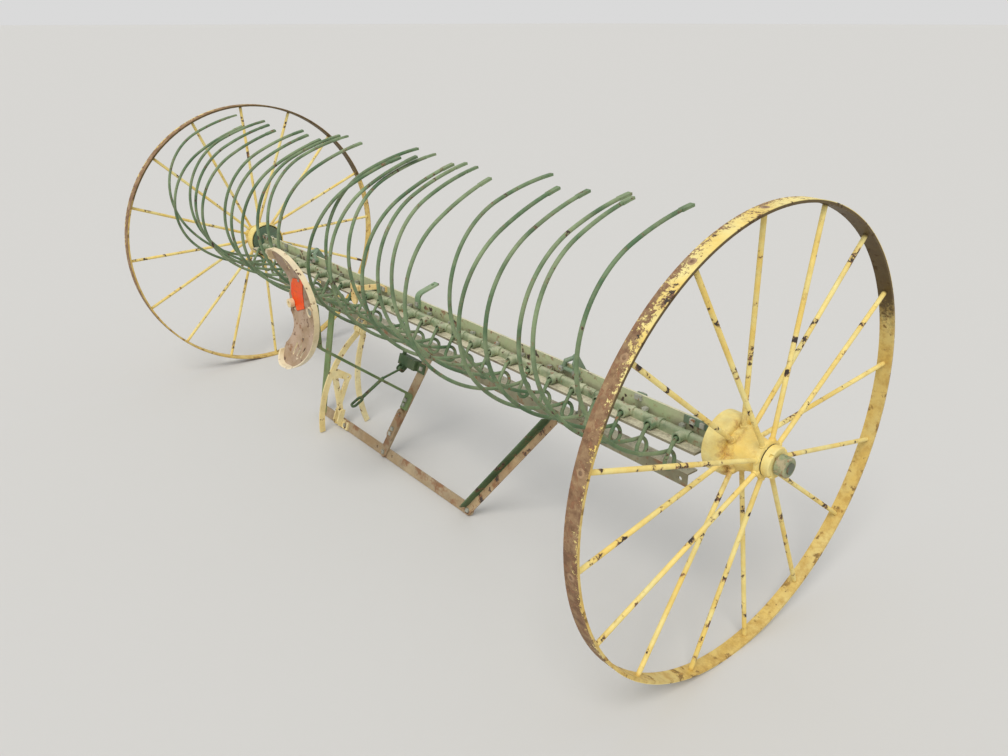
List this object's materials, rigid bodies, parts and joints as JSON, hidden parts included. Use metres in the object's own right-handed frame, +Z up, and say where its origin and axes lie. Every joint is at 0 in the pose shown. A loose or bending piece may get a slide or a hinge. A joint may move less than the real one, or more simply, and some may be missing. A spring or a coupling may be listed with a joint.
{
  "type": "dump hay rake",
  "caption": "Two-wheeled dump rake for hay with tall steel spoke wheels, a row of curved spring teeth over its angle-iron head, a pan seat and a hanging front frame; tongue missing.",
  "frame": {"origin": "on the ground under the middle of the axle", "axes": "X along the axle to the right wheel, Y to the rear with the seat towards -Y, Z up"},
  "size_m": [3.398, 1.3716, 1.3716],
  "materials": {
    "wheel_paint": "cream-yellow paint, chipped to dark iron and rust on the tread",
    "green_paint": "faded green paint with rust",
    "tooth_paint": "faded green paint on spring steel",
    "head_paint": "grey-green paint with rust blooms",
    "dark_green": "dark green paint",
    "yellow_paint": "yellow paint, chipped",
    "rusty_bar": "bare steel with dull rust",
    "axle_iron": "dark oiled iron",
    "bolt_steel": "rusty bolts",
    "seat_paint": "cream paint worn to rusty taupe"
  },
  "bodies": {
    "frame": {"sill": "head_paint", "hinge_arms": "head_paint", "front_bar": "rusty_bar", "leg_right": "rusty_bar", "leg_centre": "rusty_bar", "leg_left": "dark_green", "frame_bolts": "bolt_steel", "seat_spring": "dark_green", "seat": "seat_paint", "trip_box": "dark_green", "yoke_base": "yellow_paint", "lift_pivot": "yellow_paint"},
    "head": {"head_angle": "head_paint", "end_brackets": "green_paint", "holder_rails": "green_paint", "holder_bolts": "green_paint", "head_bolts": "bolt_steel", "tooth_set_1": "tooth_paint", "tooth_set_2": "tooth_paint", "tooth_set_3": "tooth_paint", "tooth_set_4": "tooth_paint", "tooth_set_5": "tooth_paint", "tooth_set_6": "tooth_paint", "tooth_set_7": "tooth_paint", "tooth_set_8": "tooth_paint", "tooth_set_9": "tooth_paint", "hinge_brackets": "green_paint", "head_lever": "green_paint", "lift_casting": "yellow_paint", "drum_covers": "green_paint", "axles": "axle_iron", "collars": "green_paint"},
    "right_wheel": {"wheel_right": "wheel_paint"},
    "left_wheel": {"wheel_left": "wheel_paint"},
    "lift_lever": {"lift_bars": "yellow_paint", "foot_yoke": "yellow_paint"},
    "pedal": {"trip_pedal": "dark_green"}
  },
  "joints": [
    {"name": "head_hinge", "type": "hinge", "parent": "frame", "child": "head", "pos_m": [0, 0.026, 0.6858], "axis": [1, 0, 0], "range_deg": [-90, 0]},
    {"name": "right_wheel_spin", "type": "hinge", "parent": "head", "child": "right_wheel", "pos_m": [1.5817, 0, 0.6858], "axis": [1, 0, 0], "continuous": true},
    {"name": "left_wheel_spin", "type": "hinge", "parent": "head", "child": "left_wheel", "pos_m": [-1.5817, 0, 0.6858], "axis": [1, 0, 0], "continuous": true},
    {"name": "lift_lever_swing", "type": "hinge", "parent": "frame", "child": "lift_lever", "pos_m": [-0.5, -0.024, 0.462], "axis": [1, 0, 0], "range_deg": [-11, 0]},
    {"name": "pedal_press", "type": "hinge", "parent": "frame", "child": "pedal", "pos_m": [-0.104, -0.062, 0.404], "axis": [1, 0, 0], "range_deg": [-25, 0]}
  ]
}
